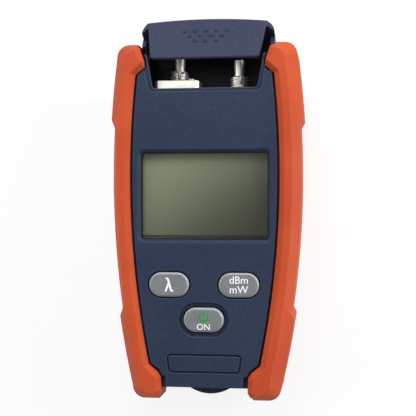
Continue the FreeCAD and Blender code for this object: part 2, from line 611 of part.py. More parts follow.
def port_screws():
    """Four small screws through the port flanges into the bay wall, two to each port."""
    screws = []
    for sign in (1, -1):
        seat = V(DETECTOR_X + sign * PORT_SCREW_AT, DETECTOR_FLANGE_Y[1], PORT_Z + sign * PORT_SCREW_AT)
        screws.append(screw(1.5, 0.9, 0.75, 5.6, seat, V(0, 1, 0)))
        seat = V(LASER_X + sign * PORT_SCREW_AT, LASER_FLANGE_Y[0], PORT_Z + sign * PORT_SCREW_AT)
        screws.append(screw(1.5, 0.9, 0.75, 3.6, seat, V(0, -1, 0)))
    return Part.makeCompound(screws)


def case_screws():
    """Four long screws through the back into the bosses of the front shell."""
    screws = [screw(2.1, 1.6, 1.05, 22.0, V(x, y, 4.0), V(0, 0, -1)) for x, y in SCREW_SPOTS]
    return Part.makeCompound(screws)


def cell(sign):
    """One AA cell; the two lie side by side, pointing opposite ways."""
    x = sign * CELL_X
    low_y = CELL_Y - CELL_LENGTH / 2
    body = tube_y(x, CELL_Z, CELL_R, low_y, low_y + CELL_LENGTH)
    nub_y = low_y + CELL_LENGTH if sign > 0 else low_y - 1.1
    return body.fuse(tube_y(x, CELL_Z, 2.7, nub_y, nub_y + 1.1))


def cell_contacts():
    """Four bent strips of plated spring steel that press on the cells' ends."""
    group = []
    for sign in (1, -1):
        x_low, x_high = sign * CELL_X - 3.5, sign * CELL_X + 3.5
        for wall_y, turn in ((4.0, -1), (-50.4, 1)):
            plate_end = wall_y + turn * 0.4
            cell_end = CELL_Y - turn * CELL_LENGTH / 2
            if sign * turn < 0:
                cell_end -= turn * 1.1
            plate = box(x_low, x_high, *sorted((wall_y, plate_end)), 4.6, 16.0)
            thick = 0.35 * turn
            leaf = [(plate_end, 5.0), (cell_end, 10.2), (plate_end, 15.4), (plate_end, 14.6),
                    (cell_end - thick, 10.2), (plate_end, 5.8)]
            group.append(plate.fuse(yz_plate(leaf, x_low + 0.8, x_high - 0.8)))
    return Part.makeCompound(group)


def battery_door():
    """Sliding door over the cells, with tongues along both edges and finger ridges."""
    door = box(-DOOR_HALF_X, DOOR_HALF_X, CORE_BOTTOM_Y, DOOR_TOP_Y, BACK_Z, 2.6)
    tongue_x = DOOR_HALF_X + DOOR_TONGUE
    door = door.fuse(box(-tongue_x, tongue_x, CORE_BOTTOM_Y + 11.0, DOOR_TOP_Y, 2.0, 2.6))
    for step in range(5):
        y = -8.0 - 2.4 * step
        half = 7.0 - 1.2 * step
        door = door.cut(box(-half, half, y - 0.6, y + 0.6, 0.0, BACK_Z + 0.5))
    return door.removeSplitter()


PIECES = {
    "front_shell": front_shell,
    "rear_shell": rear_shell,
    "dust_cover": dust_cover,
    "lcd_window": lcd_window,
    "window_seal": window_seal,
    "lcd_cell": lcd_cell,
    "lcd_holder": lcd_holder,
    "contact_strip": contact_strip,
    "backlight": backlight,
    "main_board": main_board,
    "board_parts": board_parts,
    "dome_switches": dome_switches,
    "bulkhead": bulkhead,
    "detector_port": lambda: fibre_port(DETECTOR_X, DETECTOR_FLANGE_Y, DETECTOR_TOPS),
    "laser_port": lambda: fibre_port(LASER_X, LASER_FLANGE_Y, LASER_TOPS),
    "detector_module": lambda: fibre_module(DETECTOR_X, 3.9, 6.0),
    "laser_module": lambda: fibre_module(LASER_X, 2.8, 9.0),
    "port_screws": port_screws,
    "case_screws": case_screws,
    "cell_left": lambda: cell(-1),
    "cell_right": lambda: cell(1),
    "cell_contacts": cell_contacts,
    "battery_door": battery_door,
}


def build():
    pieces = {name: make() for name, make in PIECES.items()}
    pieces["grip_right"], pieces["grip_left"] = grips()
    for name in KEY_SPOTS:
        pieces[name] = key(name)
        pieces[name.replace("key", "boot")] = key_boot(name)
    os.makedirs("parts", exist_ok=True)
    for name, shape in pieces.items():
        shape.translate(V(0, ORIGIN_SHIFT, 0))
        shape.exportStep("parts/" + name + ".step")


build()
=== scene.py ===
"""Optical power meter lying on its back, its flip cover standing open."""
import math
import bmesh
import bpy
from mathutils import Matrix, Vector


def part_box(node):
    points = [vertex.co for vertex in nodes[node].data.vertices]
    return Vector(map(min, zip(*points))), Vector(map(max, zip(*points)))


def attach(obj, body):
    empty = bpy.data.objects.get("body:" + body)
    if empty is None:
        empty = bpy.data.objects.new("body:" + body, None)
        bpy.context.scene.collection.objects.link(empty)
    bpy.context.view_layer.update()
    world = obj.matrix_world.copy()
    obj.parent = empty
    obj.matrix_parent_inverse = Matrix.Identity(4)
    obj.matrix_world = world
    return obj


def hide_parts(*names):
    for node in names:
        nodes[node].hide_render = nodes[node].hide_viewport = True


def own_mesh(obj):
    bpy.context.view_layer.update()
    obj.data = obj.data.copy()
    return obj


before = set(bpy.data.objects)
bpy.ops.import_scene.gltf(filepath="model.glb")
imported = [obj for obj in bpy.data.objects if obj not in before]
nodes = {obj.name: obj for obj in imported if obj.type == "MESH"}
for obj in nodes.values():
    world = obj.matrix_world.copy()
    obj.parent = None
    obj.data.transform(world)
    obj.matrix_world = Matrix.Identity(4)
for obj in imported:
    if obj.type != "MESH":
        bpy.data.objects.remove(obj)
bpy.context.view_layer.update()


# --- Bench and lights ------------------------------------------------------------------
# A pale laminate bench under three soft lamps, the strongest at the right, in an even
# white room. The bench keeps the soft shadow of the meter. Its far edge lies under the
# connector end, so that the cover can swing down past it.
class Wire:
    """A value that varies over a surface; sums on it become Math nodes."""

    def __init__(self, finish, socket):
        self.finish, self.socket = finish, socket

    def math(self, operation, *values):
        return self.finish.node("ShaderNodeMath", {"operation": operation}, dict(enumerate(values)))

    def __add__(self, other):
        return self.math("ADD", self, other)

    def __sub__(self, other):
        return self.math("SUBTRACT", self, other)

    def __mul__(self, other):
        return self.math("MULTIPLY", self, other)

    def __rsub__(self, other):
        return self.math("SUBTRACT", other, self)

    def __gt__(self, other):
        return self.math("GREATER_THAN", self, other)

    def __lt__(self, other):
        return self.math("LESS_THAN", self, other)

    __radd__, __rmul__ = __add__, __mul__

    def ramp(self, low, high):
        """0 where the value is low, 1 where it is high, and smooth between."""
        limits = {"Value": self, "From Min": low, "From Max": high}
        return self.finish.node("ShaderNodeMapRange", {"interpolation_type": "SMOOTHSTEP"}, limits)


class Finish:
    """A material in the making, with its own shader and nodes in metres of the meter."""

    def __init__(
        self, name, family="materials", shader="BsdfPrincipled", end="OutputMaterial", **constants
    ):
        self.material = getattr(bpy.data, family).new(name)
        self.material.use_nodes = True
        self.tree = self.material.node_tree
        self.tree.nodes.clear()
        self.end = self.tree.nodes.new("ShaderNode" + end)
        self.shader = self.tree.nodes.new("ShaderNode" + shader)
        self.tree.links.new(self.shader.outputs[0], self.end.inputs["Surface"])
        for socket, value in constants.items():
            self.shader.inputs[socket.replace("_", " ")].default_value = value

    def node(self, kind, settings=(), sockets=(), out=0):
        made = self.tree.nodes.new(kind)
        for setting, value in dict(settings).items():
            if setting == "stops":
                ramp = made.color_ramp.elements
                while len(ramp) < len(value):
                    ramp.new(1)
                for stop, (place, colour) in zip(ramp, value):
                    stop.position, stop.color = place, (*colour, 1)
            else:
                setattr(made, setting, value)
        for socket, value in dict(sockets).items():
            self.feed(made.inputs[socket], value)
        return Wire(self, made.outputs[out])

    def feed(self, socket, value):
        if isinstance(value, Wire):
            self.tree.links.new(value.socket, socket)
        elif getattr(socket, "type", "") == "RGBA" and len(value) == 3:
            socket.default_value = (*value, 1)
        else:
            socket.default_value = value

    def gives(self, **wires):
        """Feeds the shader's own sockets, such as Base_Color, from wires."""
        for socket, value in wires.items():
            self.feed(self.shader.inputs[socket.replace("_", " ")], value)
        return self

    def place(self):
        return self.node("ShaderNodeTexCoord", out="Object")

    def along(self, axis):
        return self.node("ShaderNodeSeparateXYZ", (), {0: self.place()}, out=axis)

    def noise(self, size, detail=2.0, roughness=0.5, stretch=(1, 1, 1)):
        """Fractal noise whose grains are about size metres across."""
        scale = tuple(1 / (size * s) for s in stretch)
        at = self.node("ShaderNodeVectorMath", {"operation": "MULTIPLY"}, {0: self.place(), 1: scale})
        return self.node(
            "ShaderNodeTexNoise", (), {"Vector": at, "Scale": 1.0, "Detail": detail, "Roughness": roughness}
        )

    def mix(self, factor, a, b):
        return self.node("ShaderNodeMix", {"data_type": "RGBA"}, {0: factor, 6: a, 7: b}, out=2)

    def bump(self, height, depth, strength=1.0, normal=None):
        sockets = {"Height": height, "Distance": depth, "Strength": strength}
        if normal is not None:
            sockets["Normal"] = normal
        return self.node("ShaderNodeBump", (), sockets)

    def soft_edges(self, radius):
        """The normal of a moulded or tumbled edge of this radius."""
        return self.node("ShaderNodeBevel", {"samples": 6}, {"Radius": radius})

    def painted_crevice_shade(self, reach, shallow=0.85, deep=0.25):
        """Painted shade from ambient occlusion: 1 deep in a groove or corner narrower than reach, 0 in the
        open.
        """
        open_sky = self.node("ShaderNodeAmbientOcclusion", {"samples": 12}, {"Distance": reach}, out="AO")
        return open_sky.ramp(shallow, deep)

    def seen_directly(self):
        """1 for what the camera, a mirror or clear plastic shows, 0 for what lights the meter."""
        kinds = ("Camera", "Glossy", "Transmission")
        rays = [self.node("ShaderNodeLightPath", out=f"Is {kind} Ray") for kind in kinds]
        return rays[0].math("MAXIMUM", rays[0], rays[1].math("MAXIMUM", rays[1], rays[2]))

    def edge(self, softened):
        """1 on edges, 0 on flat faces, from a softened normal."""
        true = self.node("ShaderNodeNewGeometry", out="True Normal")
        normals = {0: softened, 1: true}
        same = self.node("ShaderNodeVectorMath", {"operation": "DOT_PRODUCT"}, normals, out="Value")
        return same.ramp(0.995, 0.80)

    def on(self, *things):
        """Gives this finish to whole pieces."""
        for thing in things:
            thing.data.materials.clear()
            thing.data.materials.append(self.material)
            for face in getattr(thing.data, "polygons", ()):
                face.material_index = 0
        return self


def link(name, data, body=None):
    """Puts a new piece into the scene, riding on its body."""
    thing = bpy.data.objects.new(name, data)
    bpy.context.scene.collection.objects.link(thing)
    if body:
        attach(thing, body)
    return thing


BENCH_HALF = 1.6
BENCH_EDGE_Y = 0.046
BENCH_TOP_Z = -0.0001

bench_corners = (
    (-BENCH_HALF, -BENCH_HALF), (BENCH_HALF, -BENCH_HALF),
    (BENCH_HALF, BENCH_EDGE_Y), (-BENCH_HALF, BENCH_EDGE_Y),
)
bench_mesh = bpy.data.meshes.new("bench")
bench_mesh.from_pydata([(x, y, BENCH_TOP_Z) for x, y in bench_corners], [], [(0, 1, 2, 3)])
bench = link("bench", bench_mesh)

laminate = Finish("pale_laminate", Roughness=0.6)
speckle = laminate.noise(0.004, 3)
laminate.gives(Base_Color=laminate.mix(speckle, (0.86, 0.86, 0.86), (0.92, 0.92, 0.92)))
white = laminate.tree.nodes.new("ShaderNodeEmission")
white.inputs["Strength"].default_value = 1.0
BACKGROUND_SHARE = 0.86
blend = laminate.tree.nodes.new("ShaderNodeMixShader")
laminate.feed(blend.inputs[0], laminate.seen_directly() * BACKGROUND_SHARE)
laminate.tree.links.new(laminate.shader.outputs[0], blend.inputs[1])
laminate.tree.links.new(white.outputs[0], blend.inputs[2])
laminate.tree.links.new(blend.outputs[0], laminate.end.inputs["Surface"])
laminate.on(bench)

ROOM_LIGHT = 0.30
room = Finish("room", "worlds", "Background", "OutputWorld", Color=(1, 1, 1, 1))
room.gives(Strength=ROOM_LIGHT + (1.0 - ROOM_LIGHT) * room.seen_directly())
bpy.context.scene.world = room.material


def softbox(name, at, towards, size, power):
    lamp = bpy.data.lights.new(name, "AREA")
    lamp.shape, lamp.size, lamp.energy = "SQUARE", size, power
    thing = bpy.data.objects.new(name, lamp)
    thing.location = at
    thing.rotation_euler = (Vector(towards) - Vector(at)).to_track_quat("-Z", "Y").to_euler()
    bpy.context.scene.collection.objects.link(thing)


softbox("right_softbox", (0.78, 0.26, 0.38), (0, 0, 0.02), 0.40, 6.4)
softbox("upper_softbox", (-0.05, 0.50, 0.40), (0, 0.03, 0.02), 0.30, 2.9)
softbox("left_softbox", (-0.7, 0.0, 0.45), (0, 0, 0.02), 0.40, 1.9)

# --- Camera ----------------------------------------------------------------------------
# It looks down on the face from about 0.38 m, a little to the meter's right, with the
# connector end at the top of the picture.
CAMERA_AT = Vector((0.0512, 0.00021, 0.41075))
CAMERA_TARGET = Vector((0.0016, 0.00021, 0.034))
FOCAL_PX = 974.0
FRAME_PX = 416.0
SENSOR_MM = 36.0

camera_data = bpy.data.cameras.new("camera")
camera_data.sensor_width = SENSOR_MM
camera_data.lens = FOCAL_PX / FRAME_PX * SENSOR_MM
camera_data.clip_start, camera_data.clip_end = 0.01, 20.0
camera = bpy.data.objects.new("camera", camera_data)
back = (CAMERA_AT - CAMERA_TARGET).normalized()
side = Vector((0, 1, 0)).cross(back).normalized()
up = back.cross(side)
camera.matrix_world = Matrix.Translation(CAMERA_AT) @ Matrix((side, up, back)).transposed().to_4x4()
bpy.context.scene.collection.objects.link(camera)
bpy.context.scene.camera = camera
bpy.context.scene.view_settings.view_transform = "Standard"

# --- Housing shells --------------------------------------------------------------------
# Two halves injection-moulded in dark blue ABS with a fine spark-eroded texture. Four
# long screws through the back pull them together. Edges are painted paler, partly polish
# from use and partly painted highlight; grooves and corners are painted darker as shade.
SHELL_BLUE = (0.0115, 0.0195, 0.046)
SHELL_BLUE_PALE = (0.0165, 0.0255, 0.056)
SHELL_WORN_AND_HIGHLIGHT = (0.105, 0.130, 0.195)
SHELL_PAINTED_SHADE = (0.004, 0.006, 0.012)


def moulded_blue(name, base, pale):
    shell = Finish(name, IOR=1.47, Specular_IOR_Level=0.24)
    cloud = shell.noise(0.035, 3)
    grain = shell.noise(0.00035, 2, 0.6)
    softened = shell.soft_edges(0.00045)
    edge = shell.edge(softened)
    scuffs = shell.noise(0.012, 5, 0.7, (1, 0.3, 1)).ramp(0.60, 0.74)
    colour = shell.mix(cloud.ramp(0.35, 0.65), base, pale)
    colour = shell.mix((grain > 0.62) * 0.30, colour, SHELL_WORN_AND_HIGHLIGHT)
    # Edges are painted paler, partly as polish from use and partly as a painted highlight.
    colour = shell.mix(edge * 0.75, colour, SHELL_WORN_AND_HIGHLIGHT)
    # Grooves, recesses and corners are painted darker: painted shade.
    colour = shell.mix(shell.painted_crevice_shade(0.0018) * 0.8, colour, SHELL_PAINTED_SHADE)
    return shell.gives(
        Base_Color=colour,
        Roughness=0.56 + cloud * 0.10 - edge * 0.12 - scuffs * 0.05,
        Normal=shell.bump(grain + scuffs * 0.15, 0.00006, 0.7, softened),
    )


housing_finish = moulded_blue("blue_abs", SHELL_BLUE, SHELL_BLUE_PALE)
housing_finish.on(nodes["front_shell"], nodes["rear_shell"], nodes["battery_door"])

# --- Flip cover ------------------------------------------------------------------------
# One moulded hood that turns on two pins low in the connector bay. Its ABS is a touch
# greyer than the housing's, and twelve raised dots on its lip give a thumb its grip.
COVER_BLUE = (0.0135, 0.0178, 0.047)
COVER_BLUE_PALE = (0.0190, 0.0240, 0.057)
DOT_RADIUS, DOT_HEIGHT = 0.00090, 0.00050
DOT_PITCH, DOT_ROW, DOT_TOP_Y = 0.0043, 0.0024, 0.0582
PLAN_SHIFT = 0.00101
FACE_Z = 0.034
PIVOT = Vector((0, 0.0504 + PLAN_SHIFT, 0.007))
OPEN_BY = Matrix.Rotation(math.radians(-27.0), 4, "X")

cover_finish = moulded_blue("grey_blue_abs", COVER_BLUE, COVER_BLUE_PALE)
cover_finish.on(nodes["dust_cover"])
dots_mesh = bpy.data.meshes.new("cover_dots")
form = bmesh.new()
for row, count in enumerate((5, 4, 3)):
    for place in range(count):
        dome = bmesh.ops.create_uvsphere(form, u_segments=20, v_segments=12, radius=1.0)["verts"]
        centre_x = (place - (count - 1) / 2) * DOT_PITCH
        centre = Vector((centre_x, DOT_TOP_Y - DOT_ROW * row + PLAN_SHIFT, FACE_Z))
        for vert in dome:
            x, y, z = vert.co
            rise = DOT_HEIGHT if z > 0 else DOT_HEIGHT / 2
            vert.co = centre + Vector((x * DOT_RADIUS, y * DOT_RADIUS, z * rise))
for vert in form.verts:
    vert.co = PIVOT + OPEN_BY @ (vert.co - PIVOT)
for face in form.faces:
    face.smooth = True
form.to_mesh(dots_mesh)
form.free()
dots = link("cover_dots", dots_mesh, "dust_cover")
cover_finish.on(dots)

# --- Side grips ------------------------------------------------------------------------
# Orange thermoplastic rubber, moulded in one shot a side and hooked over the corners.
# It is matt and grainy and pales where it rubs; its steps and corners are painted darker as shade.
GRIP_ORANGE = (0.530, 0.078, 0.024)
GRIP_DEEP = (0.480, 0.063, 0.021)
GRIP_RUBBED = (0.60, 0.160, 0.060)
GRIP_PAINTED_SHADE = (0.16, 0.015, 0.008)

rubber = Finish("orange_rubber", IOR=1.5, Specular_IOR_Level=0.14, Sheen_Weight=0.03, Sheen_Roughness=0.4)
patches = rubber.noise(0.02, 4)
sand = rubber.noise(0.00045, 3, 0.65)
softened = rubber.soft_edges(0.0005)
edge = rubber.edge(softened)
colour = rubber.mix(patches.ramp(0.3, 0.7), GRIP_DEEP, GRIP_ORANGE)
colour = rubber.mix((sand > 0.63) * 0.30, colour, GRIP_RUBBED)
colour = rubber.mix(edge * 0.60, colour, GRIP_RUBBED)
# Steps and corners are painted darker: painted shade.
colour = rubber.mix(rubber.painted_crevice_shade(0.0015) * 0.7, colour, GRIP_PAINTED_SHADE)
rubber.gives(
    Base_Color=colour,
    Roughness=0.60 + patches * 0.12 - edge * 0.06,
    Normal=rubber.bump(sand + patches * 0.4, 0.00010, 0.8, softened),
)
rubber.on(nodes["grip_left"], nodes["grip_right"])

# --- Display ---------------------------------------------------------------------------
# A bare grey-green liquid crystal glass behind a thin acrylic window, coated against
# reflections and set in a black foam seal, whose black also stands in for the shade on
# the recess wall. Under the glass are a black carrier, the light guide and the zebra
# strip that connects it to the board.
GLASS_PAINTED_LIT_GREEN = (0.310, 0.366, 0.226)
GLASS_PAINTED_SHADE = (0.044, 0.049, 0.029)

crystal = Finish("liquid_crystal", Specular_IOR_Level=0.15)
low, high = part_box("lcd_cell")
across = (crystal.along(0) - low.x) * (1 / (high.x - low.x))
height_up = (crystal.along(1) - low.y) * (1 / (high.y - low.y))
# The glass is painted lighter at the upper left and darker at the lower right: a painted reflection fading
# into painted shade.
painted_light_falloff = (height_up * 0.55 - across * 0.60).ramp(-0.48, 0.52)
haze = crystal.noise(0.008, 3, 0.5)
colour = crystal.mix(painted_light_falloff, GLASS_PAINTED_SHADE, GLASS_PAINTED_LIT_GREEN)
crystal.gives(Base_Color=crystal.mix(haze * 0.10, colour, (0.14, 0.16, 0.11)), Roughness=0.42 + haze * 0.1)
crystal.on(nodes["lcd_cell"])

acrylic = Finish("coated_acrylic", IOR=1.49, Specular_IOR_Level=1.0)
wipes = acrylic.noise(0.006, 4, 0.6, (1, 0.25, 1)).ramp(0.55, 0.8)
acrylic.gives(
    Base_Color=acrylic.mix(wipes, (0.020, 0.022, 0.020), (0.05, 0.052, 0.05)),
    Roughness=0.03 + wipes * 0.05,
    Alpha=0.13 + wipes * 0.02,
)
acrylic.on(nodes["lcd_window"])

# The seal is black foam, and its black also stands in for the shade on the recess wall: partly painted
# shade.
seal_foam_and_shade = Finish("black_foam_as_recess_shade", Specular_IOR_Level=0.15)
cells = seal_foam_and_shade.noise(0.0003, 3, 0.6)
seal_foam_and_shade.gives(
    Base_Color=seal_foam_and_shade.mix(cells, (0.004, 0.004, 0.005), (0.014, 0.014, 0.015)), Roughness=0.85 + cells * 0.1,
    Normal=seal_foam_and_shade.bump(cells, 0.00006, 0.6),
)
seal_foam_and_shade.on(nodes["window_seal"])

carrier = Finish("black_nylon", IOR=1.5)
grain = carrier.noise(0.0005, 2)
carrier.gives(
    Base_Color=carrier.mix(grain, (0.008, 0.008, 0.010), (0.022, 0.022, 0.025)),
    Roughness=0.5 + grain * 0.2,
    Normal=carrier.bump(grain, 0.00005, 0.6, carrier.soft_edges(0.0003)),
)
carrier.on(nodes["lcd_holder"])

guide = Finish("white_light_guide", IOR=1.49, Subsurface_Weight=0.1)
milk = guide.noise(0.003, 2)
DIMPLES_PER_METRE = 900.0
dimple_grid = {"Scale": DIMPLES_PER_METRE, "Vector": guide.place()}
dimples = guide.node("ShaderNodeTexVoronoi", {"feature": "DISTANCE_TO_EDGE"}, dimple_grid)
guide.gives(
    Base_Color=guide.mix(milk, (0.72, 0.73, 0.70), (0.84, 0.84, 0.81)), Roughness=0.25 + milk * 0.1,
    Normal=guide.bump(dimples, 0.00008, 0.4),
)
guide.on(nodes["backlight"])

zebra = Finish("zebra_strip", IOR=1.41)
STRIPE_SCALE = 900.0
stripe_lines = {"Vector": zebra.place(), "Scale": STRIPE_SCALE}
stripes = zebra.node("ShaderNodeTexWave", {"bands_direction": "X"}, stripe_lines, out="Fac")
zebra.gives(
    Base_Color=zebra.mix(stripes > 0.5, (0.55, 0.50, 0.42), (0.03, 0.03, 0.03)),
    Roughness=0.45 + stripes * 0.1,
)
zebra.on(nodes["contact_strip"])

# --- Keys ------------------------------------------------------------------------------
# Grey silicone caps with a moulded bevel and screen-printed legends under a clear
# coat. Each stands on a thinner boot of the same rubber that snaps a dome below it.
KEY_GREY = (0.148, 0.162, 0.172)
KEY_GREY_PALE = (0.172, 0.186, 0.196)
KEY_BEVEL_HIGHLIGHT_AND_DUST = (0.36, 0.385, 0.40)

silicone = Finish("grey_silicone", IOR=1.43, Subsurface_Weight=0.08, Coat_Weight=0.12, Coat_Roughness=0.35)
silicone.shader.inputs["Subsurface Radius"].default_value = (0.0008, 0.0008, 0.0008)
milk = silicone.noise(0.006, 3)
dust = silicone.noise(0.0004, 2, 0.6)
softened = silicone.soft_edges(0.0004)
facing = silicone.node("ShaderNodeNewGeometry", out="True Normal")
slope = silicone.node("ShaderNodeSeparateXYZ", (), {0: facing}, out=2)
# Sloping bevel faces are painted paler: a painted highlight. The same pale colour also marks dust specks.
bevel = (slope < 0.9) * (slope > 0.3)
colour = silicone.mix(milk.ramp(0.3, 0.7), KEY_GREY, KEY_GREY_PALE)
colour = silicone.mix(bevel * 0.75, colour, KEY_BEVEL_HIGHLIGHT_AND_DUST)
colour = silicone.mix((dust > 0.66) * 0.25, colour, KEY_BEVEL_HIGHLIGHT_AND_DUST)
silicone.gives(
    Base_Color=colour, Roughness=0.42 + milk * 0.12,
    Normal=silicone.bump(dust + milk * 0.5, 0.00004, 0.5, softened),
)
silicone.on(nodes["key_wavelength"], nodes["key_unit"], nodes["key_power"])

boot = Finish("clear_silicone", IOR=1.43, Transmission_Weight=0.35)
cloud = boot.noise(0.004, 3)
boot.gives(
    Base_Color=boot.mix(cloud, (0.50, 0.52, 0.52), (0.66, 0.67, 0.66)), Roughness=0.35 + cloud * 0.2,
    Normal=boot.bump(cloud, 0.0001, 0.4),
)
BOOT_WEB = 0.0008
BOOT_SIDES = 48
for key_name in ("wavelength", "unit", "power"):
    low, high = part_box("boot_" + key_name)
    form = bmesh.new()
    loops = []
    for half_x, half_y, z in (
        (0.0042, 0.0026, high.z - BOOT_WEB), (0.0066, 0.0044, low.z),
        (0.0074, 0.0052, low.z), (0.0050, 0.0034, high.z),
    ):
        turns = [2 * math.pi * i / BOOT_SIDES for i in range(BOOT_SIDES)]
        circle = [(math.cos(t), math.sin(t)) for t in turns]
        square = [[math.copysign(abs(part) ** 0.5, part) for part in point] for point in circle]
        centre_x, centre_y = (low.x + high.x) / 2, (low.y + high.y) / 2
        loops.append([form.verts.new((centre_x + half_x * x, centre_y + half_y * y, z)) for x, y in square])
    for inner, outer in zip(loops, loops[1:]):
        for i in range(BOOT_SIDES):
            j = (i + 1) % BOOT_SIDES
            form.faces.new((inner[i], inner[j], outer[j], outer[i]))
    form.faces.new(loops[0])
    form.faces.new(loops[-1])
    bmesh.ops.recalc_face_normals(form, faces=form.faces)
    mesh = bpy.data.meshes.new("boot_sleeve_" + key_name)
    form.to_mesh(mesh)
    form.free()
    sleeve = link("boot_sleeve_" + key_name, mesh, "case")
    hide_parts("boot_" + key_name)
    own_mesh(sleeve)
    boot.on(sleeve)


def ink(name, colour, faded):
    """Screen ink: slightly thin in places, with the tooth of the rubber under it."""
    print_ = Finish(name, IOR=1.45)
    thin = print_.noise(0.0006, 3)
    print_.gives(
        Base_Color=print_.mix(thin.ramp(0.45, 0.75) * 0.5, colour, faded), Roughness=0.5 + thin * 0.15,
        Normal=print_.bump(thin, 0.00002, 0.4),
    )
    return print_


white_ink = ink("white_ink", (0.86, 0.87, 0.87), (0.62, 0.64, 0.64))
green_ink = ink("green_ink", (0.014, 0.25, 0.055), (0.03, 0.20, 0.06))
LEGEND_THICK = 0.00004


def plate(name, outlines, body, finish, z, depth=LEGEND_THICK):
    """A thin printed shape from closed outlines, its underside at z."""
    mesh = bpy.data.meshes.new(name)
    form = bmesh.new()
    for outline in outlines:
        top = [form.verts.new((x, y, z + depth)) for x, y in outline]
        low = [form.verts.new((x, y, z)) for x, y in outline]
        form.faces.new(top)
        form.faces.new(low[::-1])
        for i in range(len(outline)):
            j = (i + 1) % len(outline)
            form.faces.new((top[i], low[i], low[j], top[j]))
    bmesh.ops.recalc_face_normals(form, faces=form.faces)
    form.to_mesh(mesh)
    form.free()
    finish.on(link(name, mesh, body))


def stroke(points, width):
    """Quadrilaterals that follow a drawn line of this width."""
    half = width / 2
    quads = []
    for (x0, y0), (x1, y1) in zip(points, points[1:]):
        run = Vector((x1 - x0, y1 - y0)).normalized() * half
        quads.append([
            (x0 - run.y, y0 + run.x), (x0 + run.y, y0 - run.x),
            (x1 + run.y, y1 - run.x), (x1 - run.y, y1 + run.x),
        ])
    return quads


def ring_arc(x, y, radius, width, start, sweep, steps=28):
    """Quadrilaterals of one arc, angles in degrees from +X."""
    quads = []
    inner, outer = radius - width / 2, radius + width / 2
    for i in range(steps):
        a, b = (math.radians(start + sweep * k / steps) for k in (i, i + 1))
        corners = ((inner, a), (outer, a), (outer, b), (inner, b))
        quads.append([(x + r * math.cos(t), y + r * math.sin(t)) for r, t in corners])
    return quads


def lettering(name, words, x, y, size, body, finish, z):
    """One line of plain sans-serif print, centred on x, y."""
    text = bpy.data.curves.new(name, "FONT")
    text.body, text.size, text.align_x, text.align_y = words, size, "CENTER", "CENTER"
    text.extrude, text.offset, text.resolution_u = LEGEND_THICK / 2, size * 0.008, 4
    line = bpy.data.objects.new(name, text)
    line.location = (x, y, z + LEGEND_THICK / 2)
    bpy.context.scene.collection.objects.link(line)
    bpy.context.view_layer.update()
    mesh = bpy.data.meshes.new_from_object(line.evaluated_get(bpy.context.evaluated_depsgraph_get()))
    mesh.transform(line.matrix_world)
    bpy.data.objects.remove(line)
    finish.on(link(name, mesh, body))


def key_centre(name):
    low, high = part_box(name)
    return (low.x + high.x) / 2, (low.y + high.y) / 2, high.z


LAMBDA = [
    (-1.45, 2.40), (-1.38, 3.00), (-0.72, 3.02), (-0.12, 2.74), (0.20, 2.10), (1.28, -1.90),
    (1.46, -2.28), (1.90, -2.36), (1.92, -2.96), (1.20, -3.02), (0.68, -2.74), (0.42, -2.10),
    (-0.06, -0.42), (-1.02, -2.95), (-1.86, -2.95), (-0.42, 0.92), (-0.72, 1.98), (-0.92, 2.36),
]
LAMBDA_UNIT = 0.00092
UNIT_LETTERS, UNIT_RISE = 0.0041, 0.00185
ON_LETTERS, ON_DROP = 0.0034, 0.0028
POWER_LINE, POWER_RADIUS, POWER_RISE = 0.00085, 0.00168, 0.0012
POWER_START, POWER_SWEEP = 124, 292
POWER_BAR = (0.0014, 0.0033)
key_x, key_y, key_z = key_centre("key_wavelength")
plate(
    "legend_wavelength", [[(key_x + LAMBDA_UNIT * x, key_y + LAMBDA_UNIT * y) for x, y in LAMBDA]],
    "key_wavelength", white_ink, key_z,
)
key_x, key_y, key_z = key_centre("key_unit")
lettering("legend_dbm", "dBm", key_x, key_y + UNIT_RISE, UNIT_LETTERS, "key_unit", white_ink, key_z)
lettering("legend_mw", "mW", key_x, key_y - UNIT_RISE, UNIT_LETTERS, "key_unit", white_ink, key_z)
key_x, key_y, key_z = key_centre("key_power")
power_ring = ring_arc(
    key_x, key_y + POWER_RISE, POWER_RADIUS, POWER_LINE, POWER_START, POWER_SWEEP
)
power_bar = stroke([(key_x, key_y + rise) for rise in POWER_BAR], POWER_LINE)
plate("legend_power", power_ring + power_bar, "key_power", green_ink, key_z)
lettering("legend_on", "ON", key_x, key_y - ON_DROP, ON_LETTERS, "key_power", white_ink, key_z)

# --- Fibre ports -----------------------------------------------------------------------
# Turned and milled brass under satin nickel: a square flange, an M8 collar with a key
# slot, and a tube whose ceramic sleeve takes a 2.5 mm ferrule. The thread is drawn at
# 1 mm pitch, coarser than the real 0.75 mm, and the flanges are screwed to the liner.
PORT_Z = 0.017
COLLAR_RADIUS = 0.0040
COLLAR_CHAMFER = 0.0003
TUBE_RADIUS = 0.00225
BORE_RADIUS, BORE_DEPTH = 0.0014, 0.011
MOUTH_RADIUS = 0.0016
WALL_FRONT_Y = 0.0464
THREAD_PITCH = 0.0010
THREAD_DEPTH = 0.00055
THREAD_STEP = THREAD_PITCH / 12
THREAD_RUN_OUT = 0.2
RIDGE_SLOPE, RIDGE_FLOOR = 1.5, 0.25
SLOT_WIDTH, SLOT_LENGTH = 0.0012, 0.0034
SLIT_WIDTH, SLIT_FLOOR = 0.0008, 0.00145
CUT_CLEARANCE = 0.01
TURNS = 96
SLEEVE_RADIUS, SLEEVE_SIDES = 0.00126, 40
SLEEVE_LOW, SLEEVE_TOP = 0.0105, 0.0007
NICKEL = (0.93, 0.90, 0.83)
NICKEL_DULL = (0.80, 0.76, 0.68)
NICKEL_PAINTED_SHADE = (0.030, 0.028, 0.025)


